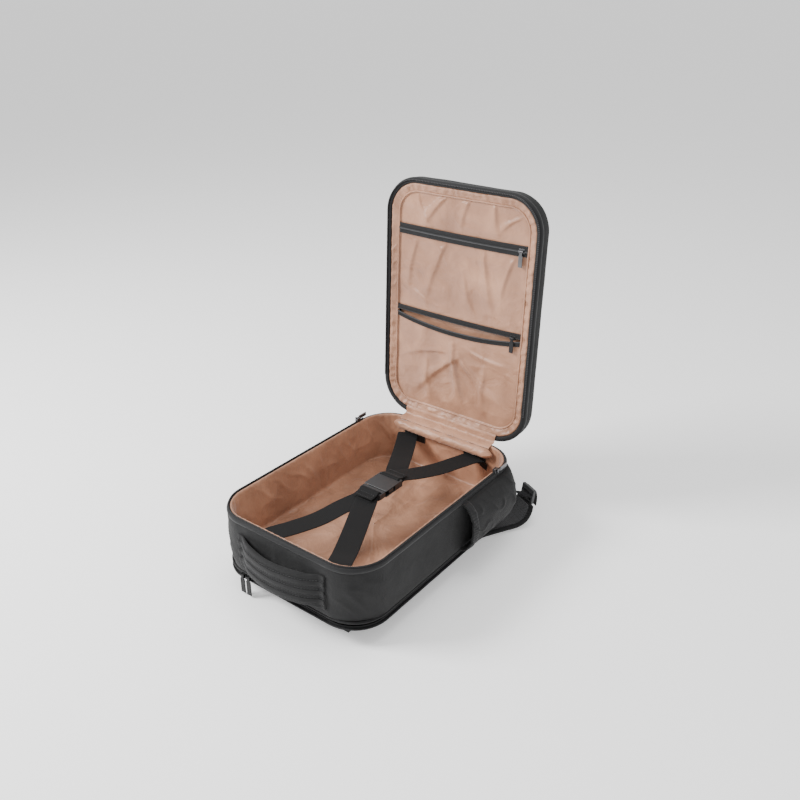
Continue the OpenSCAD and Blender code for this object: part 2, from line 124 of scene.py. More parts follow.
def half_width(y, inset):
    """Half the width of the bag's outline at a given y."""
    w, l, r = W / 2 - inset, L / 2 - inset, R - inset
    over = abs(y) - (l - r)
    if over <= 0:
        return w
    if over >= r:
        return w - r
    return w - r + math.sqrt(r * r - over * over)


def to_open(co):
    """Turns points of the closed lid up to its open place."""
    co = np.array(co, float)
    dy, dz = co[:, 1] - HINGE_Y, co[:, 2] - HINGE_Z
    out = co.copy()
    out[:, 1] = HINGE_Y + dy * math.cos(-OPEN) - dz * math.sin(-OPEN)
    out[:, 2] = HINGE_Z + dy * math.sin(-OPEN) + dz * math.cos(-OPEN)
    return out


def place(name, data):
    obj = bpy.data.objects.new(name, data)
    bpy.context.scene.collection.objects.link(obj)
    return obj


def make(name, co, faces, material, body, slot=None, lid=False, smooth=True, uv=None, replaces=()):
    """A piece from points in millimetres. A lid piece is given closed, and turned up to its open place."""
    co = np.array(co, float)
    if lid:
        co = to_open(co)
    mesh = bpy.data.meshes.new(name)
    mesh.from_pydata([tuple(p) for p in co * MM], [], [tuple(f) for f in faces])
    mesh.validate()
    if smooth:
        mesh.polygons.foreach_set("use_smooth", [True] * len(mesh.polygons))
    if uv is not None:
        layer = mesh.uv_layers.new(name="UVMap")
        for loop in mesh.loops:
            layer.data[loop.index].uv = uv[loop.vertex_index]
    mesh.update()
    obj = place(name, mesh)
    mesh.materials.append(material)
    if body:
        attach(obj, body)
    if replaces:
        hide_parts(*replaces)
    return obj


def grid_faces(rows, cols, wrap=True, flip=False):
    faces = []
    for i in range(rows - 1):
        for j in range(cols if wrap else cols - 1):
            k = (j + 1) % cols
            face = (i * cols + j, i * cols + k, (i + 1) * cols + k, (i + 1) * cols + j)
            faces.append(face[::-1] if flip else face)
    return faces


def tube_faces(rows, around, flip=False):
    """Faces of a tube with both ends closed."""
    first, last = tuple(range(around)), tuple((rows - 1) * around + k for k in range(around))
    ends = [first, last[::-1]] if flip else [first[::-1], last]
    return grid_faces(rows, around, flip=flip) + ends


def shifted(faces, base):
    """The faces of a repeated block whose first corner has the number base."""
    return [tuple(base + k for k in face) for face in faces]


STITCH_FACES, TOOTH_FACES = tube_faces(4, 6), tube_faces(2, 6)


def squared(value, power):
    """A sine or cosine pushed out towards the corners of a rounded square."""
    return math.copysign(abs(value) ** power, value)


def n3(x, y, z, seed=0.0):
    """Smooth noise between -1 and 1, different for each seed."""
    return noise.noise(Vector((x + seed * 17.3, y - seed * 9.1, z + seed * 4.7)))


def ridge(x, y, z, seed=0.0):
    """Soft creases: 0 between them, up to 1 on their crest."""
    return (1.0 - min(1.0, abs(n3(x, y, z, seed)) * 3.2)) ** 2


def loft(name, levels, material, body, count=420, cap=None, move=None, **kw):
    """A skin through outlines at (inset, z) levels. move(x, y, z, nx, ny, row, s) adds cloth relief."""
    p, n = perimeter(count)
    co = []
    for row, (inset, z) in enumerate(levels):
        for j in range(count):
            x = p[j, 0] - inset * n[j, 0]
            y = p[j, 1] - inset * n[j, 1]
            if inset > R - 8:
                k = (inset - (R - 8)) / (W / 2 - (R - 8))
                bx, by = p[j, 0] - (R - 8) * n[j, 0], p[j, 1] - (R - 8) * n[j, 1]
                x, y = bx * (1 - k), by * (1 - k)
            dx = dy = dz = 0.0
            if move:
                dx, dy, dz = move(x, y, z, n[j, 0], n[j, 1], row, j / count)
            co.append((x + dx, y + dy, z + dz))
    faces = grid_faces(len(levels), count, flip=kw.pop("flip", False))
    if cap == "end":
        faces.append(tuple((len(levels) - 1) * count + j for j in range(count)))
    return make(name, co, faces, material, body, **kw)


def sweep(name, centres, sides, outs, widths, thicks, material, body, power=5.0, around=20, **kw):
    """A closed band of rounded section along a path: widths along sides, thicks along outs."""
    co, uv, run = [], [], 0.0
    for i, c in enumerate(centres):
        if i:
            run += (Vector(centres[i]) - Vector(centres[i - 1])).length
        s, o = Vector(sides[i]).normalized(), Vector(outs[i]).normalized()
        for k in range(around):
            a = 2 * math.pi * k / around
            u = squared(math.cos(a), 2 / power) * widths[i] / 2
            v = squared(math.sin(a), 2 / power) * thicks[i] / 2
            co.append(Vector(c) + s * u + o * v)
            uv.append((run * MM, u * MM))
    return make(name, co, tube_faces(len(centres), around), material, body, uv=uv, **kw)


def smooth_path(points, steps=12):
    """Points on a Catmull-Rom curve through the given ones."""
    pts = [Vector(p) for p in points]
    pts = [2 * pts[0] - pts[1]] + pts + [2 * pts[-1] - pts[-2]]
    out = []
    for i in range(1, len(pts) - 2):
        a, b, c, d = pts[i - 1 : i + 3]
        for k in range(steps):
            t = k / steps
            bend = (2 * a - 5 * b + 4 * c - d) * t * t
            out.append(0.5 * (2 * b + (c - a) * t + bend + (3 * b - a - 3 * c + d) * t**3))
    out.append(pts[-2])
    return out


def band(name, points, side, width, thick, material, body, steps=12, **kw):
    """Webbing through the given points. side is the direction across it, or a list with one at each point."""
    path = smooth_path(points, steps)
    if isinstance(side, list):
        across = smooth_path(side, steps)
    else:
        across = [Vector(side)] * len(path)
    outs = []
    for i in range(len(path)):
        t = path[min(i + 1, len(path) - 1)] - path[max(i - 1, 0)]
        outs.append(t.cross(across[i]))
    n = len(path)
    return sweep(
        name, path, across, outs, [width] * n, [thick] * n, material, body, power=9, around=16, **kw
    )


def bevelled(node, material, width):
    """A rounded-edge copy of a hard CAD piece, shown in its place."""
    source = nodes[node]
    mesh = source.data.copy()
    mesh.name = node + "_look"
    obj = place(node + "_look", mesh)
    mesh.materials.clear()
    mesh.materials.append(material)
    weld = obj.modifiers.new("weld", "WELD")
    weld.merge_threshold = 0.00002
    bevel = obj.modifiers.new("bevel", "BEVEL")
    bevel.width = width * MM
    bevel.segments = 3
    bevel.limit_method = "ANGLE"
    bevel.angle_limit = math.radians(35)
    bevel.harden_normals = False
    mesh.polygons.foreach_set("use_smooth", [True] * len(mesh.polygons))
    normal = obj.modifiers.new("normals", "WEIGHTED_NORMAL")
    normal.keep_sharp = True
    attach(obj, source["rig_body"])
    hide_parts(node)
    return obj


# ---- materials


def new_material(name):
    m = bpy.data.materials.new(name)
    m.use_nodes = True
    tree = m.node_tree
    return m, tree, tree.nodes["Principled BSDF"]


def add(tree, kind, **values):
    node = tree.nodes.new(kind)
    for key, value in values.items():
        if key in node.inputs:
            node.inputs[key].default_value = value
        else:
            setattr(node, key, value)
    return node


def texture_noise(tree, where, scale, detail, rough=0.5, distortion=0.0):
    node = add(
        tree, "ShaderNodeTexNoise", Scale=scale, Detail=detail, Roughness=rough, Distortion=distortion
    )
    tree.links.new(where, node.inputs["Vector"])
    return node.outputs[0]


def texture_wave(tree, where, scale, distortion, direction, **values):
    node = add(
        tree, "ShaderNodeTexWave", Scale=scale, Distortion=distortion, bands_direction=direction, **values
    )
    tree.links.new(where, node.inputs["Vector"])
    return node.outputs["Color"]


def coordinates(tree, kind="Object"):
    return tree.nodes.new("ShaderNodeTexCoord").outputs[kind]


def set_shader(shader, **values):
    for name, value in values.items():
        shader.inputs[name.replace("_", " ")].default_value = value


def grey(value):
    return (value, value, value, 1)


def mixed(tree, factor, a, b, blend="MIX"):
    node = tree.nodes.new("ShaderNodeMix")
    node.data_type = "RGBA"
    node.blend_type = blend
    if isinstance(factor, float):
        node.inputs[0].default_value = factor
    else:
        tree.links.new(factor, node.inputs[0])
    for socket, value in ((node.inputs[6], a), (node.inputs[7], b)):
        if isinstance(value, tuple):
            socket.default_value = value
        else:
            tree.links.new(value, socket)
    return node.outputs[2]


def ramp(tree, source, low, high, a=(0, 0, 0, 1), b=(1, 1, 1, 1)):
    node = tree.nodes.new("ShaderNodeValToRGB")
    node.color_ramp.elements[0].position = low
    node.color_ramp.elements[1].position = high
    node.color_ramp.elements[0].color = a
    node.color_ramp.elements[1].color = b
    tree.links.new(source, node.inputs[0])
    return node.outputs[0]


def bump(tree, shader, height, strength, distance, previous=None):
    node = add(tree, "ShaderNodeBump", Strength=strength, Distance=distance)
    tree.links.new(height, node.inputs["Height"])
    if previous is not None:
        tree.links.new(previous, node.inputs["Normal"])
    tree.links.new(node.outputs[0], shader.inputs["Normal"])
    return node.outputs[0]


# A wave texture's bands are 0.314 / scale metres apart.
WAVE = 0.314


def woven(name, dark, light, thread=0.0011, rough=0.85, sheen=0.25, fold=0.25):
    """Woven cloth: crossed threads, heathered colour, and soft creases."""
    m, tree, shader = new_material(name)
    where = coordinates(tree)
    waves = [
        texture_wave(tree, where, WAVE / thread, 1.2, axis, **{"Detail": 1.0, "Detail Scale": 3.0}) for axis in "XYZ"
    ]
    crossed = mixed(tree, 0.5, mixed(tree, 0.5, waves[0], waves[1]), waves[2])
    grain = texture_noise(tree, where, 1400.0, 3.0, 0.7)
    cloud = texture_noise(tree, where, 38.0, 5.0, 0.65)
    crease = texture_noise(tree, where, 14.0, 4.0, 0.55, 0.6)
    colour = mixed(tree, ramp(tree, grain, 0.35, 0.68), dark, light)
    colour = mixed(tree, 0.5, colour, mixed(tree, ramp(tree, cloud, 0.3, 0.7), dark, light))
    colour = mixed(tree, 1.0, colour, ramp(tree, crossed, 0.1, 0.9, grey(0.72), grey(1.12)), "MULTIPLY")
    tree.links.new(colour, shader.inputs["Base Color"])
    roughness = ramp(tree, cloud, 0.2, 0.8, grey(rough - 0.08), grey(min(1, rough + 0.08)))
    tree.links.new(roughness, shader.inputs["Roughness"])
    set_shader(shader, Sheen_Weight=sheen, Sheen_Roughness=0.5, Specular_IOR_Level=0.25)
    bump(tree, shader, crease, fold, 0.006, bump(tree, shader, crossed, 0.5, 0.0004))
    return m


def satin(name, colour, deep):
    """Satin lining: fine threads, soft sheen, small creases with painted shade in them and a painted highlight on
    their crests, and a slight change of tone.
    """
    m, tree, shader = new_material(name)
    where = coordinates(tree)
    thread = texture_wave(tree, where, 420.0, 0.6, "X")
    crease = texture_noise(tree, where, 22.0, 4.0, 0.5, 0.4)
    tone = texture_noise(tree, where, 9.0, 3.0, 0.5, 0.8)
    pucker = texture_noise(tree, where, 120.0, 3.0, 0.55, 0.5)
    mix = mixed(tree, ramp(tree, tone, 0.32, 0.7), deep, colour)
    # painted shade and painted highlight: the crease noise that makes the bump also darkens the colour in the
    # creases and lightens it on their crests
    shade = ramp(tree, crease, 0.25, 0.75, (0.76, 0.72, 0.7, 1), grey(1.12))
    tree.links.new(mixed(tree, 1.0, mix, shade, "MULTIPLY"), shader.inputs["Base Color"])
    tree.links.new(ramp(tree, crease, 0.2, 0.8, grey(0.36), grey(0.5)), shader.inputs["Roughness"])
    set_shader(shader, Sheen_Weight=0.35, Sheen_Roughness=0.35, Anisotropic=0.4, Specular_IOR_Level=0.45)
    first = bump(tree, shader, thread, 0.12, 0.0003)
    bump(tree, shader, crease, 0.7, 0.009, bump(tree, shader, pucker, 0.22, 0.0012, first))
    return m


def webbing_material(name, dark, light, rib=0.0022):
    """Ribbed webbing: cross ribs and a twill, from the strip's own coordinates."""
    m, tree, shader = new_material(name)
    uv = coordinates(tree, "UV")
    ribs = texture_wave(tree, uv, WAVE / rib, 0.4, "X")
    twill = texture_wave(tree, uv, WAVE / (rib * 0.8), 0.3, "DIAGONAL")
    fleck = texture_noise(tree, uv, 900.0, 2.0)
    both = mixed(tree, 0.45, ribs, twill)
    colour = mixed(tree, ramp(tree, both, 0.2, 0.85), dark, light)
    colour = mixed(tree, 0.3, colour, ramp(tree, fleck, 0.35, 0.7, dark, light))
    tree.links.new(colour, shader.inputs["Base Color"])
    set_shader(shader, Roughness=0.7, Sheen_Weight=0.03, Specular_IOR_Level=0.16)
    bump(tree, shader, both, 0.6, 0.0005)
    return m


def moulded(name, colour, rough=0.42, metal=0.0, grain=0.12):
    """Moulded plastic or plated metal with fine grain, edge wear and soft smudges."""
    m, tree, shader = new_material(name)
    where = coordinates(tree)
    fine = texture_noise(tree, where, 1800.0, 3.0)
    smudge = texture_noise(tree, where, 90.0, 4.0, 0.6)
    worn = ramp(tree, tree.nodes.new("ShaderNodeNewGeometry").outputs["Pointiness"], 0.51, 0.6)
    brighter = tuple(min(1.0, c * 2.4 + 0.02) for c in colour[:3]) + (1,)
    tree.links.new(mixed(tree, worn, colour, brighter), shader.inputs["Base Color"])
    tree.links.new(
        ramp(tree, smudge, 0.3, 0.7, grey(rough - 0.1), grey(rough + 0.1)), shader.inputs["Roughness"]
    )
    set_shader(shader, Metallic=metal)
    bump(tree, shader, fine, grain, 0.0002)
    return m


def mesh_material(name):
    """Black spacer mesh: rows of small round holes, painted near black as painted shade inside them."""
    m, tree, shader = new_material(name)
    cells = add(tree, "ShaderNodeTexVoronoi", Scale=330.0, Randomness=0.25)
    tree.links.new(coordinates(tree), cells.inputs["Vector"])
    # painted shade: the open cells of the mesh are painted near black, darker than the threads around them
    painted_hole_shade = ramp(tree, cells.outputs["Distance"], 0.18, 0.42, grey(0.004), (0.035, 0.035, 0.037, 1))
    tree.links.new(painted_hole_shade, shader.inputs["Base Color"])
    set_shader(shader, Roughness=0.9, Sheen_Weight=0.2)
    bump(tree, shader, cells.outputs["Distance"], 0.8, 0.0012)
    return m


OUTER = woven("outer_weave", (0.004, 0.004, 0.0043, 1), (0.021, 0.021, 0.0215, 1), sheen=0.06)
TRIM = woven(
    "binding_tape", (0.005, 0.005, 0.0055, 1), (0.014, 0.014, 0.015, 1), thread=0.0014, rough=0.7,
    fold=0.08, sheen=0.08
)
TAPE = woven(
    "zip_tape", (0.005, 0.005, 0.0055, 1), (0.015, 0.015, 0.016, 1), thread=0.001, rough=0.75, fold=0.05,
    sheen=0.08
)
SATIN = satin("satin_lining", (0.475, 0.255, 0.16, 1), (0.335, 0.174, 0.108, 1))
WEB = webbing_material("packing_webbing", (0.002, 0.002, 0.0022, 1), (0.008, 0.008, 0.0085, 1))
GREY_WEB = webbing_material("strap_webbing", (0.014, 0.014, 0.015, 1), (0.05, 0.05, 0.052, 1), rib=0.0018)
PLASTIC = moulded("buckle_plastic", (0.012, 0.012, 0.013, 1))
COIL = moulded("zip_coil", (0.008, 0.008, 0.009, 1), rough=0.55)
GUNMETAL = moulded("gunmetal", (0.1, 0.1, 0.105, 1), rough=0.33, metal=1.0, grain=0.05)
DARK_METAL = moulded("black_plated", (0.03, 0.03, 0.032, 1), rough=0.36, metal=0.9, grain=0.05)
MESH = mesh_material("air_mesh")
THREAD = moulded("stitching", (0.03, 0.03, 0.032, 1), rough=0.7)

# A slot name for a piece of each material, in a table that is built and not kept.
dict.fromkeys((TRIM, TAPE, WEB, GREY_WEB, COIL), "black_webbing")


# ---- relief of the cloth


def shell_relief(amount, seed, low, high, near_bulge=0.0):
    """Outward swell between two heights, soft dents, fine creases, and corners that tuck in at the foot."""

    def move(x, y, z, nx, ny, row, s):
        t = min(1.0, max(0.0, (z - low) / (high - low)))
        hold = math.sin(math.pi * t) ** 0.6 if 0 < t < 1 else 0.0
        corner = min(1.0, abs(nx * ny) * 2)
        swell = 1.0 + near_bulge * max(0.0, -ny) * (1.2 - t)
        dent = n3(x / 70, y / 70, z / 60, seed) * amount
        crease = (ridge(x / 60, y / 60, z / 90, seed + 3) - 0.3) * amount * 0.3
        slant = (ridge((x + y) / 38 + z / 30, (x - y) / 90, z / 46, seed + 6) - 0.25) * amount * 0.6 * corner
        d = hold * (swell + dent + crease + slant) - 3.2 * corner * (1 - t) ** 2
        return nx * d, ny * d, 0.0

    return move


def lining_relief(seed, top, bottom):
    """Gathers under the rim, slanting folds down the wall and long wrinkles over the floor."""

    def move(x, y, z, nx, ny, row, s):
        t = min(1.0, max(0.0, (top - z) / (top - bottom)))
        gather = math.sin(s * 2 * math.pi * 96 + 3 * n3(x / 40, y / 40, 0, seed)) * 0.5 * math.exp(-t * 5)
        hang = math.sin(math.pi * min(0.98, t * 1.4))
        fold = ridge(x / 34 + z / 60, y / 34 + z / 60, z / 120, seed) * 3.2 * hang
        soft = n3(x / 55, y / 55, z / 55, seed + 5) * 2.0
        d = -(gather + (fold + soft) * min(1.0, t * 5))
        return nx * d * 0.9, ny * d * 0.9, 0.0

    return move


# ---- case: outer skin and harness side

shell_levels = [(2.4, WALL_Z - 0.4), (0.4, WALL_Z + 0.5)]
shell_levels += [(0.0, WALL_Z + (WALL_TOP - WALL_Z) * k / 26) for k in range(1, 26)]
shell_levels += [(0.0, WALL_TOP + 0.5), (6.5, WALL_TOP + 0.6)]
loft("case_skin", shell_levels, OUTER, "case", count=520,
     move=shell_relief(2.6, 1, WALL_Z + 2, WALL_TOP, 2.2), replaces=("main_wall", "wall_foam"))

bay = [(2.6, 43.5), (3.2, 42.0), (3.2, 38.0)]
loft("laptop_tape_upper", bay, TAPE, "case", count=300, replaces=("laptop_zip_tape",))
bay = [(3.2, 35.0), (3.2, 31.0), (2.6, 29.4)]
loft("laptop_tape_lower", bay, TAPE, "case", count=300)


def harness_move(x, y, z, nx, ny, row, s):
    d = n3(x / 50, y / 50, z / 30, 8) * 1.0
    return nx * d, ny * d, n3(x / 60, y / 60, 0, 9) * (0.8 if row > 7 else 0.0)


harness = [
    (0.9, 29.4), (1.6, 28.0), (4.5, 25.4), (8.5, 21.8), (12.0, 18.6), (15.5, 16.2), (20, 15.0), (26, 14.5)
]
harness += [(i, 14.3) for i in (34, 44, 56, 80, 104, 128, 147)]
loft("harness_skin", harness, OUTER, "case", count=360, flip=True, move=harness_move,
     replaces=("harness_wall", "harness_panel", "case_floor"))


def cord_ring(name, inset, z, radius, material, body="case", wobble=0.25, seed=0, **kw):
    """Round piping along the outline."""
    count, around = 460, 10
    p, n = perimeter(count)
    co = []
    for (x, y), (nx, ny) in zip(p, n):
        c = Vector((x - inset * nx, y - inset * ny, z))
        c.z += n3(x / 30, y / 30, seed, 2) * wobble
        out = Vector((nx, ny, 0))
        c += out * n3(x / 25, y / 25, seed, 5) * wobble
        for k in range(around):
            a = 2 * math.pi * k / around
            co.append(c + out * math.cos(a) * radius + Vector((0, 0, math.sin(a) * radius)))
    faces = []
    for j in range(count):
        here, after = j * around, (j + 1) % count * around
        for k in range(around):
            m = (k + 1) % around
            faces.append((here + k, after + k, after + m, here + m))
    return make(name, co, faces, material, body, **kw)


cord_ring("piping_low", 0.5, 30.8, 1.5, TRIM, replaces=("laptop_piping",))
cord_ring("piping_high", 0.5, 42.2, 1.5, TRIM, seed=2)
cord_ring("seam_under_rim", -0.2, WALL_TOP - 1.2, 0.8, TRIM, seed=4)


def rim_wave(seed):
    def move(x, y, z, nx, ny, row, s):
        d = n3(x / 45, y / 45, seed, 3) * 0.5
        return nx * d, ny * d, n3(x / 50, y / 50, seed, 6) * 0.5

    return move


def binding(name, z0, z1, body, lid, replaces, seed, width):
    """Folded binding tape over the edge of the wall."""
    h = z1 - z0
    section = [
        (0.2, -2.6), (-1.2, -2.2), (-1.6, 0.5), (-1.5, h * 0.55), (-0.7, h * 0.85), (0.8, h * 0.99),
        (width * 0.45, h * 1.02), (width * 0.75, h * 0.98), (width * 0.94, h * 0.8), (width, h * 0.5),
        (width, 0.4), (width - 0.2, -2.0), (width - 1.2, -2.4)
    ]
    if lid:
        section = [(i, h - z) for i, z in section]
    levels = [(i, z0 + z) for i, z in section]
    return loft(
        name, levels, TRIM, body, count=420, move=rim_wave(seed), lid=lid, flip=lid, replaces=replaces
    )


binding("case_binding", WALL_TOP, RIM_Z, "case", False, ("rim_binding",), 1, 4.6)


def stitches(name, path, normals, length, gap, radius, body, **kw):
    """A run of short raised stitches along a path."""
    co, faces = [], []
    pts = [Vector(p) for p in path]
    run = [0.0]
    for a, b in zip(pts, pts[1:]):
        run.append(run[-1] + (b - a).length)

    def at(s):
        i = min(len(pts) - 2, max(0, int(np.searchsorted(run, s) - 1)))
        t = (s - run[i]) / max(1e-6, run[i + 1] - run[i])
        normal = Vector(normals[min(i, len(normals) - 1)]).normalized()
        return pts[i].lerp(pts[i + 1], t), (pts[i + 1] - pts[i]).normalized(), normal

    s = gap
    while s + length < run[-1]:
        base = len(co)
        for f, r in ((0.0, 0.35), (0.25, 1.0), (0.75, 1.0), (1.0, 0.35)):
            p, t, n = at(s + length * f)
            side = t.cross(n)
            p = p + n * (radius * (r - 0.5))
            for q in range(6):
                a = 2 * math.pi * q / 6
                co.append(p + side * math.cos(a) * radius * r + n * math.sin(a) * radius * r)
        faces += shifted(STITCH_FACES, base)
        s += length + gap
    return make(name, co, faces, THREAD, body, **kw)


def rim_path(inset):
    """Points and outward normals along the rim zip, from the far right over the near side to the far left."""
    p, n = perimeter(900)
    order = [j for j in (*range(450, 900), *range(450)) if p[j, 1] <= ZIP_END]
    path = [(p[j, 0] - inset * n[j, 0], p[j, 1] - inset * n[j, 1], 0.0) for j in order]
    return path, [(n[j, 0], n[j, 1], 0) for j in order]


def zip_half(name, inset, z_tape, z_teeth, body, lid, replaces):
    """Half of the rim zip: a tape and its coil of teeth."""
    path, outs = rim_path(inset)
    co, faces = [], []
    lo, hi = min(z_tape, z_teeth), max(z_tape, z_teeth)
    for p, o in zip(path, outs):
        for side in (-0.6, 0.6):
            for z in (lo, hi):
                co.append((p[0] + o[0] * side, p[1] + o[1] * side, z))
    for i in range(len(path) - 1):
        a, b = i * 4, i * 4 + 4
        faces += [
            (a, b, b + 1, a + 1), (a + 2, a + 3, b + 3, b + 2), (a + 1, b + 1, b + 3, a + 3),
            (a, a + 2, b + 2, b)
        ]
    make(name + "_tape", co, faces, TAPE, body, lid=lid, smooth=False, replaces=replaces)
    tooth = ((-0.8, -1.3), (0.8, -1.3), (0.85, 0.1), (0.5, 0.7), (-0.5, 0.7), (-0.85, 0.1))
    up = 1.0 if z_teeth > z_tape else -1.0
    co, faces, pitch, run, last = [], [], 2.1, 0.0, None
    for i in range(1, len(path)):
        p, q = Vector(path[i - 1]), Vector(path[i])
        run += (q - p).length
        if last is not None and run - last < pitch:
            continue
        last = run
        t, o = (q - p).normalized(), Vector(outs[i])
        faces += shifted(TOOTH_FACES, len(co))
        for dt in (-0.65, 0.65):
            for do, dz in tooth:
                co.append(q + t * dt + o * do + Vector((0, 0, z_teeth + up * dz)))
    make(name + "_teeth", co, faces, COIL, body, lid=lid, smooth=False)


zip_half("case_zip", 1.8, RIM_Z - 1.0, 142.4, "case", False, ("base_zip_tape",))

# ---- case lining

depth = [
    (3.6, RIM_Z - 3.0), (4.0, RIM_Z - 0.6), (4.8, RIM_Z + 0.5), (5.8, RIM_Z + 0.6), (6.8, RIM_Z - 0.2),
    (7.6, RIM_Z - 1.8), (8.0, RIM_Z - 4), (8.2, RIM_Z - 7)
]
depth += [(8.6, RIM_Z - 10 - 76 * k / 22) for k in range(23)]
depth += [(8.8, 52.4), (9.6, 50.2), (11.6, 48.6), (15, 47.8)]
depth += [
    (i, 47.6) for i in (
        19, 24, 30, 37, 44, 51, 56, 62, 69, 77, 85, 94, 103, 112, 121, 130, 138, 144, 148, 149.7
    )
]
wall_move = lining_relief(2, RIM_Z - 3, 50.0)


def calm(x, y, z):
    """Near 0 on the sewn patches of the packing straps, 1 away from them."""
    k = 1.0
    for ax, side in ANCHORS:
        if y * side > 150:
            k *= 1 - math.exp(-((x - ax) / 30) ** 4 - ((z - 113) / 24) ** 4)
    return k


def lining_move(x, y, z, nx, ny, row, s):
    if z > 50:
        dx, dy, dz = wall_move(x, y, z, nx, ny, row, s)
        k = calm(x, y, z) * min(1.0, row / 6.0)
        return dx * k, dy * k, dz * k
    fade = min(1.0, (50.3 - z) / 2.7)
    lift = ridge(x / 58 + n3(x / 90, y / 90, 1, 4), y / 40, 0.3, 12) * 3.0
    lift += ridge(x / 34, y / 60, 2.1, 15) * 1.6
    return 0.0, 0.0, max(0.0, fade * (lift + 1.2 * n3(x / 30, y / 30, 0, 7)))


lining = loft(
    "case_lining", depth, SATIN, "case", count=520, cap="end", flip=True, move=lining_move,
    replaces=("base_lining",)
)


def roll_piece():
    """Gathered tube of lining along the hinge."""
    co, rows, around = [], 120, 40
    length, y, z, radius = 212, 195.9, 130.2, 8.8
    for i in range(rows + 1):
        t = i / rows
        x = -length / 2 + length * t
        swell = min(1.0, math.sin(math.pi * min(max(t, 0.004), 0.996)) * 5) ** 0.5
        for k in range(around):
            a = 2 * math.pi * k / around
            r = radius * swell + 0.9 * n3(x / 22 + math.cos(a) * 1.2, math.sin(a) * 1.4, 0, 3)
            r += 0.7 * ridge(x / 14 + a * 0.5, a * 0.8, 0, 6)
            co.append((x, y + r * math.cos(a), z + r * math.sin(a)))
    obj = make(
        "hinge_roll_soft", co, tube_faces(rows + 1, around, flip=True), SATIN, "case",
        replaces=("hinge_roll",)
    )


roll_piece()


def flap_piece():
    """Lining flap from the hinge roll across the rim and up to the lid's border."""
    line = smooth_path(
        [
            (200.5, 138.6, 0), (204.5, 141.0, 0), (210.0, 142.6, 0), (215.5, 143.0, 0), (218.4, 145.2, 0),
            (219.6, 149.5, 0), (220.2, 153.5, 0), (222.2, 157.5, 0)
        ],
        5
    )
    co, rows = [], 90
    for i in range(rows + 1):
        x = -97 + 194 * i / rows
        for j, p in enumerate(line):
            t = j / (len(line) - 1)
            soft = 0.8 * n3(x / 16, t * 3, 0, 9) + 0.7 * ridge(x / 13, t * 2, 0, 12)
            frayed = 1.5 * n3(t * 3, i, 0, 4) * (i in (0, rows))
            hold = math.sin(math.pi * t)
            co.append((x + frayed, p.x - soft * 0.8 * hold, p.y + soft * hold))
    faces = grid_faces(rows + 1, len(line), wrap=False)
    obj = make("hinge_flap_soft", co, faces, SATIN, None, replaces=("hinge_flap",))
    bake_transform(obj)


flap_piece()

# ---- grab handle


def handle_pieces():
    back = NEAR - 2.0
    xs = np.linspace(-88, 88, 71)
    centres, sides, outs, widths, thicks = [], [], [], [], []

    def bow(x):
        if abs(x) > 76:
            return 0.0
        return 17.0 * math.cos(math.pi * x / 152) ** 0.85

    def thickness(x):
        return 3.2 + 6.4 * min(1.0, max(0.0, (80 - abs(x)) / 26)) ** 0.7

    for x in xs:
        thick = thickness(x)
        centres.append(
            (x, back - bow(x) - thick / 2 + 0.4 * n3(x / 20, 0, 0, 2), 88 + 0.8 * n3(x / 30, 1, 0, 5))
        )
        slope = bow(x + 0.5) - bow(x - 0.5)
        sides.append((0, 0, 1))
        outs.append((-slope, -1, 0))
        widths.append(56 + 2.0 * n3(x / 25, 3, 0, 1) + 4.0 * min(1.0, max(0.0, (abs(x) - 60) / 26)))
        thicks.append(thick)
    obj = sweep(
        "handle_pad", centres, sides, outs, widths, thicks, OUTER, "case", power=3.4, around=40,
        replaces=("grab_handle", "handle_patches")
    )
    # three padded ribs along the front, each between two rows of stitches
    for k in range(3):
        z = 72 + k * 15.5
        c = [(x, back - bow(x) - thickness(x) - 0.6, z) for x in xs]
        sweep(
            "handle_rib_%d" % k, c, sides, outs, [8.6] * len(xs), [2.0] * len(xs), OUTER, "case", power=2.4,
            around=16, replaces=("handle_ribs",) if k == 0 else ()
        )
        for dz in (-5.4, 5.4):
            line = [(p[0], p[1] + 0.15, p[2] + dz) for p in c]
            stitches("handle_stitch_%d_%d" % (k, dz > 0), line, outs, 3.2, 1.4, 0.35, "case")
    for s in (-1, 1):
        line = [(s * 82.0, NEAR - 5.9, 63 + 50 * t / 20) for t in range(21)]
        stitches(
            "handle_end_stitch_%s" % ("r" if s > 0 else "l"), line, [(0, -1, 0)] * 21, 3.0, 1.3, 0.4, "case"
        )


handle_pieces()

# ---- bottle pocket


def thicken(obj, thickness, offset):
    solid = obj.modifiers.new("thick", "SOLIDIFY")
    solid.thickness = thickness
    solid.offset = offset


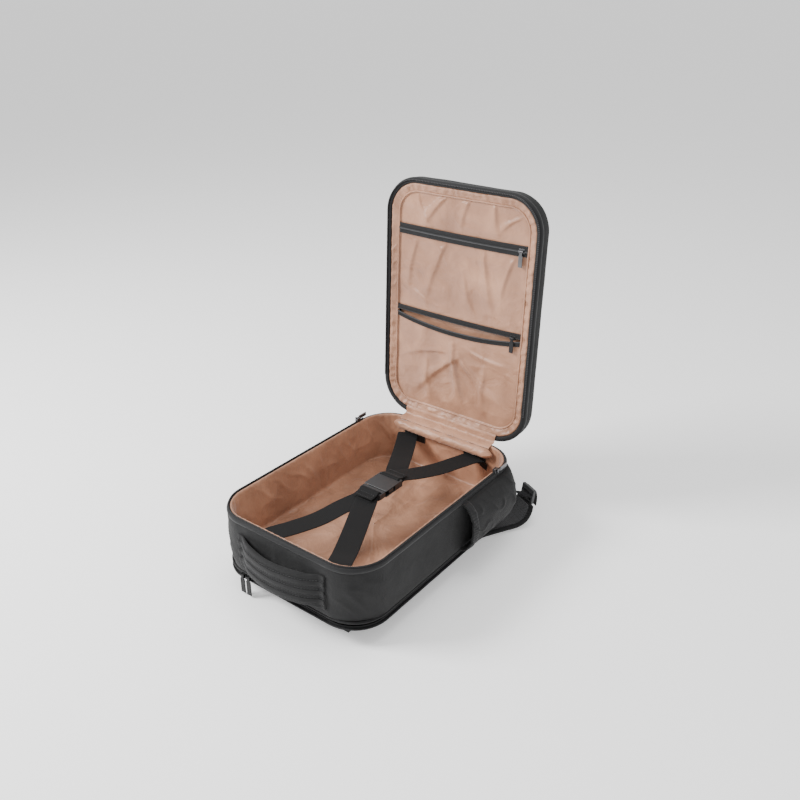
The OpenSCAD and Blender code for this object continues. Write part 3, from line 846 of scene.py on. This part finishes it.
def pocket_pieces():
    near, far, z0, z1 = 35.0, 187.0, 46.0, 131.0

    def surface(u, v, lift=0.0):
        y = near + (far - near) * u
        z = z0 + (z1 - z0) * v
        along = 1.0 if u < 0.8 else math.sqrt(max(0.0, 1 - ((u - 0.8) / 0.2) ** 2))
        across = math.sin(math.pi * v) ** 0.42 if 0 < v < 1 else 0.0
        bulge = 25.0 * along * across
        crumple = n3(y / 30, z / 30, 0, 4) * 1.8 + (ridge(y / 26 + z / 50, z / 26, 0, 8) - 0.2) * 2.0
        bulge += crumple * across * along
        bulge -= 2.2 * math.exp(-u * 16) * across
        return (half_width(y, 0) + 1.0 + bulge + lift * (0.2 + 0.8 * across), y, z)

    rows, cols = 90, 48
    co = [surface(i / rows, j / cols) for i in range(rows + 1) for j in range(cols + 1)]
    body = make(
        "bottle_pocket_soft", co, grid_faces(rows + 1, cols + 1, wrap=False), OUTER, "case",
        replaces=("bottle_pocket",)
    )
    thicken(body, 0.0016, -1)
    co = []
    for i in range(9):
        u = -0.004 + 0.088 * i / 8
        for j in range(97):
            v = j / 96
            x, y, z = surface(max(0.0, u), v, 0.7 + 0.35 * math.sin(v * math.pi * 34))
            co.append((x, y - (0.6 if u < 0 else 0), z))
    hem = make("pocket_hem_soft", co, grid_faces(9, 97, wrap=False), TRIM, "case", replaces=("pocket_hem",))
    thicken(hem, 0.003, -0.4)
    for u in (0.012, 0.075):
        line = [surface(u, 0.06 + 0.88 * t / 60, 1.3) for t in range(61)]
        stitches("pocket_stitch_%d" % (u > 0.05), line, [(1, 0, 0)] * 61, 2.8, 1.2, 0.35, "case")


pocket_pieces()

# ---- packing straps and buckle


def strap_pieces():
    bx, by = BUCKLE
    inner = L / 2 - 9.0
    # Where each strap leaves its wall, where it meets the buckle, how far it lies over its neighbour, and its side.
    ends = {
        "near_strap_left": ((-50, -inner), (bx - 5, by - 40), 0.0, -1),
        "near_strap_right": ((96, -inner + 1.5), (bx + 5, by - 40), 1.8, -1),
        "far_strap_left": ((-80, inner), (bx - 5, by + 48), 0.0, 1),
        "far_strap_right": ((80, inner), (bx + 5, by + 48), 1.8, 1),
    }
    for name, (wall, apex, lift, s) in ends.items():
        a, b = Vector((wall[0], wall[1], 0)), Vector((apex[0], apex[1], 0))
        d = (b - a).normalized()
        cross = Vector((-d.y, d.x, 0))
        length = (b - a).length
        pts = [a + d * 0.5 + Vector((0, 0, STRAP_Z - 20)), a + d * 1.2 + Vector((0, 0, STRAP_Z - 7))]
        for f in (0.1, 0.3, 0.55, 0.8, 1.0):
            sag = -5.5 * math.sin(math.pi * f) ** 1.5 + 1.2 * math.sin(f * 9 + wall[0])
            pts.append(a + d * length * f + Vector((0, 0, STRAP_Z + 1.2 + lift + sag)))
        turned = Vector((1, 0, 0)) * (1 if cross.x > 0 else -1)
        sides = [cross] * 6 + [(cross * 0.55 + turned * 0.45).normalized()]
        pts.append(Vector((bx, by + BARS[s] + s * 8.0, STRAP_Z + 3.4 + lift * 0.5)))
        sides.append(turned)
        obj = band(name + "_soft", pts, sides, 38, 1.5, WEB, None if s < 0 else "case", replaces=(name,))
        if s < 0:
            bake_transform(obj)
    # the sewn loops that carry the buckle halves on their bars
    for s, body in ((-1, "buckle_male"), (1, "case")):
        bar_y, z = by + BARS[s], STRAP_Z + 4.0
        pts = [
            (bx, bar_y + s * 24, z + 3.0), (bx, bar_y + s * 12, z + 4.2), (bx, bar_y + s * 4, z + 7.4),
            (bx, bar_y - s * 0.5, z + 5.4), (bx, bar_y - s * 1.6, z), (bx, bar_y - s * 0.5, z - 5.4),
            (bx, bar_y + s * 4, z - 7.2), (bx, bar_y + s * 12, z - 3.2), (bx, bar_y + s * 24, z - 1.4)
        ]
        band("buckle_loop_%s" % ("near" if s < 0 else "far"), pts, (1, 0, 0), 37, 1.5, WEB, body, steps=8)
        box_y = bar_y + s * 17
        corners = [
            (bx - 15, box_y - 5), (bx + 15, box_y - 5), (bx + 15, box_y + 5), (bx - 15, box_y + 5),
            (bx - 15, box_y - 5)
        ]
        line = []
        for p, q in zip(corners, corners[1:]):
            line += [
                (p[0] + (q[0] - p[0]) * t / 8, p[1] + (q[1] - p[1]) * t / 8, z + 4.7) for t in range(8)
            ]
        stitches(
            "bar_tack_%s" % ("near" if s < 0 else "far"), line, [(0, 0, 1)] * len(line), 2.6, 1.0, 0.35,
            body, slot="black_webbing"
        )
    # anchor patches on the lining
    for x, s in ANCHORS:
        y = s * (L / 2 - 9.9)
        tag = ("near" if s < 0 else "far") + ("_l" if x < 0 else "_r")
        centres = [(x - 23 + 46 * k / 10, y, STRAP_Z - 4) for k in range(11)]
        sweep(
            "anchor_" + tag, centres, [(0, 0, 1)] * 11, [(0, -s, 0)] * 11, [25] * 11, [1.8] * 11, TRIM,
            "case", power=8, around=16, replaces=("strap_anchors",) if (x, s) == ANCHORS[0] else ()
        )


strap_pieces()

# Material, width of the rounded edges in millimetres, and CAD nodes.
HARDWARE = (
    (PLASTIC, 0.7, ("buckle_female", "buckle_male", "prong_left", "prong_right")),
    (PLASTIC, 0.8, ("ladder_lock_right", "ladder_lock_left")),
    (GUNMETAL, 0.35, ("upper_slider", "upper_pull")),
    (GUNMETAL, 0.35, ("main_slider_right", "main_pull_right", "main_slider_left", "main_pull_left")),
    (DARK_METAL, 0.35, ("lower_slider", "lower_pull", "laptop_slider_a", "laptop_slider_b")),
    (TRIM, 0.4, ("laptop_pull_a", "laptop_pull_b")),
)
for material, width, hard_nodes in HARDWARE:
    for node in hard_nodes:
        bevelled(node, material, width)

# ---- shoulder straps, tabs and cushions


def strap_line(s):
    """Follows a shoulder strap on the floor: place, heading and crosswise direction from its sewn root on."""
    toe, bend, bend_r, straight, tip = math.radians(4.5), math.radians(24), 120.0, 285.0, 50.0

    def at(v):
        x, y, turn = 0.0, min(v, straight), 0.0
        if v > straight:
            turn = min(bend, (v - straight) / bend_r)
            x += bend_r * (1 - math.cos(turn))
            y += bend_r * math.sin(turn)
            rest = v - straight - bend_r * bend
            if rest > 0:
                x += rest * math.sin(bend)
                y += rest * math.cos(bend)
        px = 78 + x * math.cos(toe) + y * math.sin(toe)
        py = NEAR + 44 - x * math.sin(toe) + y * math.cos(toe)
        h = toe + turn
        heading, across = Vector((math.sin(h) * s, math.cos(h), 0)), Vector((math.cos(h) * s, -math.sin(h), 0))
        return Vector((px * s, py, 0)), heading, across

    return at, straight + bend_r * bend + tip


def shoulder_pieces(s, side):
    at, flat = strap_line(s)
    curl = 45.0
    root, ahead, across = at(flat)

    def path(z, end, start=12.0):
        centres, sides, outs = [], [], []
        for k in range(80):
            spot, _, side_dir = at(start + (flat - start) * k / 79)
            centres.append(spot + Vector((0, 0, z + 0.3 * n3(spot.x / 40, spot.y / 40, s, 3))))
            sides.append(side_dir)
            outs.append(Vector((0, 0, 1)))
        for k in range(1, 27):
            a = math.radians(end) * k / 26
            r = curl - z
            centres.append(root + ahead * r * math.sin(a) + Vector((0, 0, curl - r * math.cos(a))))
            sides.append(across)
            outs.append(ahead * -math.sin(a) + Vector((0, 0, math.cos(a))))
        return centres, sides, outs

    body = "shoulder_" + side
    c, d, o = path(6.6, 79)
    n = len(c)
    widths = [60 - 10 * max(0, (i - n + 14) / 14) for i in range(n)]
    thicks = [9.6 - 3.0 * max(0, 1 - i / 5) - 3.5 * max(0, (i - n + 7) / 7) for i in range(n)]
    pad = sweep(
        "shoulder_pad_" + side, c, d, o, widths, thicks, OUTER, body, power=2.8, around=36,
        replaces=("strap_pad_" + side,)
    )
    c, d, o = path(11.3, 77, 18)
    sweep(
        "shoulder_mesh_" + side, c, d, o, [w - 12 for w in widths], [1.6] * n, MESH, body, power=4,
        around=20
    )
    c, d, o = path(0.9, 88)
    sweep("shoulder_web_" + side, c, d, o, [25] * n, [1.6] * n, GREY_WEB, body, power=8, around=16,
          replaces=("strap_webbing_" + side,))
    for u in (-24.5, 24.5):
        c, d, o = path(11.6, 70, 20)
        line = [p + q * u for p, q in zip(c, d)]
        stitches("shoulder_edge_%s_%d" % (side, u > 0), line, o, 3.2, 1.3, 0.4, body)
    # webbing from the lock back to the corner tab, and its loose end over the lock
    lock = root + ahead * 42 + Vector((0, 0, 52))
    tab = Vector((s * 116, FAR + 17, 48.5))
    mid = (lock + tab) / 2 + Vector((0, 4, -6))
    obj = band(
        "lower_web_" + side,
        [
            tab, tab + Vector((0, 6, 1)), mid, lock - ahead * 3 + Vector((0, 0, -3)),
            lock + Vector((0, 1, 2))
        ],
        [Vector((s, 0, 0)), Vector((s, 0, 0)), (Vector((s, 0, 0)) + across).normalized(), across, across],
        24, 1.5, GREY_WEB, None, replaces=("lower_webbings",) if s > 0 else ()
    )
    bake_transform(obj)
    over = ((-1, 4), (3, 10), (8, 8), (11, 0), (12, -12), (11, -24))
    loose = [lock + ahead * f + Vector((0, 0, z)) for f, z in over]
    band("loose_end_" + side, loose, across, 24, 1.5, GREY_WEB, body)


shoulder_pieces(1, "right")
shoulder_pieces(-1, "left")


def tab_pieces():
    """Tapering tabs at the far corners, where the lower webbing is sewn."""
    for s in (-1, 1):
        rows, around, co = 14, 24, []
        for i in range(rows + 1):
            t = i / rows
            half = 21 - 10 * t
            y = 200 + 35 * t
            for k in range(around):
                a = 2 * math.pi * k / around
                u = squared(math.cos(a), 0.3) * half
                v = squared(math.sin(a), 0.3) * 1.3
                co.append((s * 112 + u, y, 48.2 + v + 0.5 * n3(u / 9, y / 9, s, 2)))
        make(
            "corner_tab_" + ("r" if s > 0 else "l"), co, tube_faces(rows + 1, around), OUTER, "case",
            slot="black_webbing", replaces=("corner_tabs",) if s < 0 else ()
        )


tab_pieces()


def cushion_pieces():
    """Three mesh-covered cushions on the back, and the yoke that holds the shoulder straps."""
    for k in (-1, 0, 1):
        rows, cols, co = 28, 28, []
        for i in range(rows + 1):
            for j in range(cols + 1):
                u, v = 2 * i / rows - 1, 2 * j / cols - 1
                crown = (1 - abs(u) ** 3.2) * (1 - abs(v) ** 3.2)
                z = 14.0 - 14.0 * crown ** 0.35
                z += 0.4 * max(0.0, 1 - crown) * n3(u * 3, v * 3, k, 3)
                pull = 1 - 0.035 * (1 - abs(u)) * (abs(v) > 0.9)
                co.append((u * 46 * pull, k * 108 + v * 46, max(0.0, z)))
        obj = make(
            "back_cushion_%d" % (k + 1), co, grid_faces(rows + 1, cols + 1, wrap=False, flip=True), MESH,
            "case", replaces=("back_cushions",) if k < 0 else ()
        )
    sweep(
        "yoke_soft", [(-110 + 220 * i / 30, NEAR + 37, 13.2) for i in range(31)], [(0, 1, 0)] * 31,
        [(0, 0, 1)] * 31, [38] * 31, [1.8] * 31, OUTER, "case", power=6, around=20, replaces=("strap_yoke",)
    )


cushion_pieces()

# ---- lid


def lid_skin_move(x, y, z, nx, ny, row, s):
    t = (z - LID_WALL) / (LID_TOP - LID_WALL)
    hold = max(0.0, math.sin(math.pi * min(1, max(0, t))))
    d = hold * (1.0 + n3(x / 60, y / 60, z / 40, 21) * 1.6)
    lift = 0.0
    if row > 24:
        r2 = (x / 150) ** 2 + (y / 215) ** 2
        lift = max(0.0, 1 - r2) + n3(x / 80, y / 80, 0, 22) * 1.2 + (ridge(x / 90, y / 90, 0, 23) - 0.3) * 0.8
    return nx * d, ny * d, lift


lid_levels = [(6.5, LID_WALL - 0.6), (0.0, LID_WALL - 0.5)]
lid_levels += [(0.6 * (k / 18) ** 2, LID_WALL + (LID_TOP - 8 - LID_WALL) * k / 18) for k in range(1, 19)]
lid_levels += [
    (0.8, LID_TOP - 6.0), (2.4, LID_TOP - 3.9), (4.8, LID_TOP - 2.1), (8.5, LID_TOP - 0.9),
    (13.5, LID_TOP - 0.2)
]
lid_levels += [(i, LID_TOP) for i in (20, 28, 37, 46, 54, 64, 76, 88, 100, 112, 124, 136, 144, 149)]
loft("lid_skin", lid_levels, OUTER, "lid", count=460, cap="end", move=lid_skin_move, lid=True,
     replaces=("lid_gusset", "lid_panel", "lid_foam"))
cord_ring("lid_edge_piping", 3.2, LID_TOP - 2.4, 1.5, TRIM, lid=True, body="lid", seed=7)
cord_ring("lid_seam", -0.2, LID_WALL + 1.4, 0.8, TRIM, lid=True, body="lid", seed=9)
binding("lid_binding_soft", LID_BIND, LID_WALL, "lid", True, ("lid_binding",), 4, 7.6)
zip_half("lid_zip", 1.8, LID_BIND + 1.0, 146.0, "lid", True, ("lid_zip_tape",))


def lid_lining_move(x, y, z, nx, ny, row, s):
    puff = math.sin(math.pi * min(1.0, row / 12.0))
    gather = math.sin(s * 2 * math.pi * 90 + 5 * n3(x / 40, y / 40, 0, 33)) * 0.8
    soft = n3(x / 24, y / 24, z / 30, 34) * 2.0 + ridge(x / 20, y / 20, z / 40, 35) * 1.8
    return nx * puff * gather * 0.4, ny * puff * gather * 0.4, -puff * (soft + gather)


strip = [
    (7.6, LID_BIND + 3.6), (8.4, LID_BIND + 2.6), (9.4, LID_BIND + 2.2), (10.6, LID_BIND + 2.3),
    (11.8, LID_BIND + 2.8), (13.0, LID_BIND + 3.4), (14.4, LID_BIND + 4.0), (15.8, LID_BIND + 4.6),
    (17.2, LID_BIND + 5.1), (18.6, LID_BIND + 5.6), (20.0, LID_BIND + 6.1), (21.2, POCKET_Z - 0.2),
    (22.4, POCKET_Z + 0.6), (24.0, POCKET_Z + 1.4)
]
loft("lid_lining_soft", strip, SATIN, "lid", count=560, move=lid_lining_move, lid=True,
     replaces=("lid_lining", "pocket_border"))
for k, (inset, depth_z, r) in enumerate(((21.6, -1.2, 1.5), (17.2, 3.6, 0.9))):
    cord_ring(
        "pocket_piping_%d" % k, inset, POCKET_Z + depth_z - 4.2 * k, r, SATIN, lid=True, body="lid",
        wobble=0.6, seed=11 + k
    )


def pulled(x, y, folds):
    """Height of long soft folds. Each runs between two points and is steeper on one side."""
    h = 0.0
    for x0, y0, x1, y1, wide, high in folds:
        dx, dy = x1 - x0, y1 - y0
        length = math.hypot(dx, dy)
        t = ((x - x0) * dx + (y - y0) * dy) / (length * length)
        d = ((x - x0) * dy - (y - y0) * dx) / length + 5.0 * math.sin(t * 2.6)
        w = wide * (0.55 if d > 0 else 1.3) * (0.6 + 0.8 * abs(t - 0.15))
        h += 1.5 * high * math.exp(-((d / w) ** 2)) * math.exp(-(((t - 0.4) / 0.5) ** 4))
    return h


def face_panel(name, top, bottom, seed, replaces, folds, sag_top=0.0):
    """A pulled and wrinkled panel across the lid, from y = top to y = bottom of the closed lid."""
    co, rows, cols = [], 100, 140
    for i in range(rows + 1):
        t = i / rows
        for j in range(cols + 1):
            u = 2 * j / cols - 1
            arch = 1 - u * u
            y = top + (bottom - top) * t
            y += sag_top * arch * (1 - t)
            x = u * half_width(y, FACE_INSET)
            edge = min(1.0, min(t, 1 - t) * 9) * min(1.0, (1 - abs(u)) * 12)
            free = min(1.0, (1 - abs(u)) * 6) * max(0.0, 1 - t * 3.5) if sag_top else 0.0
            relief = ridge(x / 70 + n3(x / 80, y / 80, 2, seed), y / 50, 0, seed)
            relief += 1.5 * n3(x / 46, y / 46, 0, seed + 2)
            relief += pulled(x, y, folds)
            z = POCKET_Z + 1.2 - edge * relief - free * (0.8 + 1.2 * n3(x / 18, 0, 0, seed))
            co.append((x, y, z))
    obj = make(
        name, co, grid_faces(rows + 1, cols + 1, wrap=False), SATIN, "lid", lid=True, replaces=replaces
    )


U0, U1 = UPPER_ZIP - 6.5, UPPER_ZIP + 6.5
D0, D1 = LOWER_ZIP - 6.5, LOWER_ZIP + 10
face_panel(
    "top_panel_soft", NEAR + FACE_INSET, U0, 41, ("top_panel",),
    folds=(
        (-30, -195, -75, -135, 8, 2.8), (15, -198, 0, -140, 7, 2.2), (60, -195, 78, -135, 8, 2.6),
        (105, -175, 70, -140, 6, 1.8), (-90, -185, -60, -140, 7, 1.6)
    )
)
face_panel(
    "upper_pocket_soft", U1, D0, 43, ("upper_pocket_panel",),
    folds=(
        (-90, -112, -105, -10, 9, 2.2), (-30, -115, -70, 5, 10, 2.4), (45, -112, 75, 0, 10, 2.8),
        (100, -105, 85, -30, 7, 2.2), (-110, -30, -20, 5, 8, 1.8), (10, -60, 40, 8, 8, 1.6)
    )
)
face_panel(
    "lower_pocket_soft", D1, FAR - FACE_INSET, 47, ("lower_pocket_panel",), sag_top=13.0,
    folds=(
        (-5, 70, 28, 185, 9, 3.8), (12, 84, 96, 150, 9, 3.2), (0, 88, -84, 172, 10, 3.0),
        (-30, 80, -116, 108, 8, 2.0), (30, 66, 112, 74, 7, 2.2), (60, 100, 70, 190, 8, 2.0),
        (-60, 110, -40, 190, 8, 1.8)
    )
)


def back_panel():
    """Lining behind the open pocket mouth."""
    co = []
    for i in range(21):
        for j in range(41):
            x, y = -126 + 252 * j / 40, LOWER_ZIP - 8 + 60 * i / 20
            co.append((x, y, POCKET_Z + 8 + 1.5 * n3(x / 30, y / 30, 0, 51)))
    obj = make("pocket_back", co, grid_faces(21, 41, wrap=False), SATIN, "lid", lid=True)


back_panel()


def pocket_zip(name, y, sag_top, sag_low, low_y, lift, replaces):
    """A zip across the pocket face: each half is a tape with teeth, and the lower half may sag open."""
    halves = (("a", y - 4.6, sag_top, 0.0, 1), ("b", low_y + 4.6, sag_low, lift, -1))
    count = 120
    tooth = ((3.0, 0.2), (4.6, 0.2), (4.9, -0.9), (4.4, -1.7), (3.2, -1.7), (2.8, -0.9))
    for tag, base, sag, out, sign in halves:
        co, faces, line = [], [], []
        for j in range(count + 1):
            u = 2 * j / count - 1
            arch = 1 - u * u
            yy = base + sag * arch
            x = u * (half_width(yy, FACE_INSET) - 0.5)
            z = POCKET_Z - 0.9 - out * min(1.0, (1 - abs(u)) * 6)
            z += 0.3 * n3(x / 22, yy / 22, 0, 61)
            line.append((x, yy, z))
            for dy, dz in ((-4.4, 0.3), (-4.2, -0.5), (4.2, -0.5), (4.4, 0.3)):
                co.append((x, yy + dy, z + dz))
        for j in range(count):
            a, b = j * 4, j * 4 + 4
            faces += [(a + k, b + k, b + k + 1, a + k + 1) for k in range(3)]
        make(
            "%s_tape_%s" % (name, tag), co, faces, TAPE, "lid", lid=True, smooth=False,
            replaces=replaces if tag == "a" else ()
        )
        co, faces = [], []
        for j in range(1, count + 1):
            p, q = Vector(line[j - 1]), Vector(line[j])
            for f in (0.25, 0.75):
                c = p.lerp(q, f)
                faces += shifted(TOOTH_FACES, len(co))
                for dx in (-0.6, 0.6):
                    for dy, dz in tooth:
                        co.append((c.x + dx, c.y + sign * dy, c.z + dz))
        make("%s_teeth_%s" % (name, tag), co, faces, COIL, "lid", lid=True, smooth=False)
        edge = base - sign * 3.2
        row = [(p[0], edge + sag * (1 - (2 * j / count - 1) ** 2), p[2] - 0.55) for j, p in enumerate(line)]
        stitches(
            "%s_stitch_%s" % (name, tag), row, [(0, 0, -1)] * len(row), 3.0, 1.3, 0.3, "lid",
            slot="black_webbing", lid=True
        )


pocket_zip("upper_zip", UPPER_ZIP, 1.5, 1.5, UPPER_ZIP, 0.0, ("upper_zip_tapes",))
pocket_zip("lower_zip", LOWER_ZIP, 2.0, 13.0, LOWER_ZIP + 4.0, 0.8, ("lower_zip_tapes",))

# ---- floor, light and camera

FLOOR_HALF = 60
floor_material, tree, shader = new_material("floor")
speck = add(tree, "ShaderNodeTexNoise", Scale=3.0, Detail=2.0)
tree.links.new(ramp(tree, speck.outputs[0], 0.3, 0.7, grey(0.92), grey(0.94)), shader.inputs["Base Color"])
set_shader(shader, Roughness=0.9, Emission_Color=grey(1), Emission_Strength=0.3)
floor_mesh = bpy.data.meshes.new("floor")
corners = [
    (-FLOOR_HALF, -FLOOR_HALF, 0), (FLOOR_HALF, -FLOOR_HALF, 0), (FLOOR_HALF, FLOOR_HALF, 0),
    (-FLOOR_HALF, FLOOR_HALF, 0)
]
floor_mesh.from_pydata(corners, [], [(0, 1, 2, 3)])
floor = place("floor", floor_mesh)
floor.location.z = -0.0005
floor.data.materials.append(floor_material)

world = bpy.data.worlds.new("studio")
bpy.context.scene.world = world
world.use_nodes = True
set_shader(world.node_tree.nodes["Background"], Color=grey(1), Strength=0.85)


def area(name, spot, aim, size, power):
    light = bpy.data.lights.new(name, "AREA")
    light.shape = "SQUARE"
    light.size = size
    light.energy = power
    obj = place(name, light)
    obj.location = spot
    obj.rotation_euler = (Vector(aim) - Vector(spot)).to_track_quat("-Z", "Y").to_euler()


area("key", (-1.5, -1.3, 1.7), (0, 0, 0.2), 0.8, 92)
area("fill", (1.9, -1.2, 1.2), (0, 0, 0.2), 1.6, 12)
area("top", (0.1, 0.2, 2.4), (0, 0.1, 0), 1.2, 22)

YAW, PITCH = math.radians(37.33), math.radians(26.36)
FOCAL_PIXELS, IMAGE_PIXELS = 850, 800
camera = bpy.data.cameras.new("camera")
camera.sensor_width = 36
camera.lens = FOCAL_PIXELS / IMAGE_PIXELS * camera.sensor_width
eye = place("camera", camera)
eye.location = (0.757, -0.920, 0.8739)
look = Vector((-math.sin(YAW) * math.cos(PITCH), math.cos(YAW) * math.cos(PITCH), -math.sin(PITCH)))
eye.rotation_euler = look.to_track_quat("-Z", "Y").to_euler()
bpy.context.scene.camera = eye
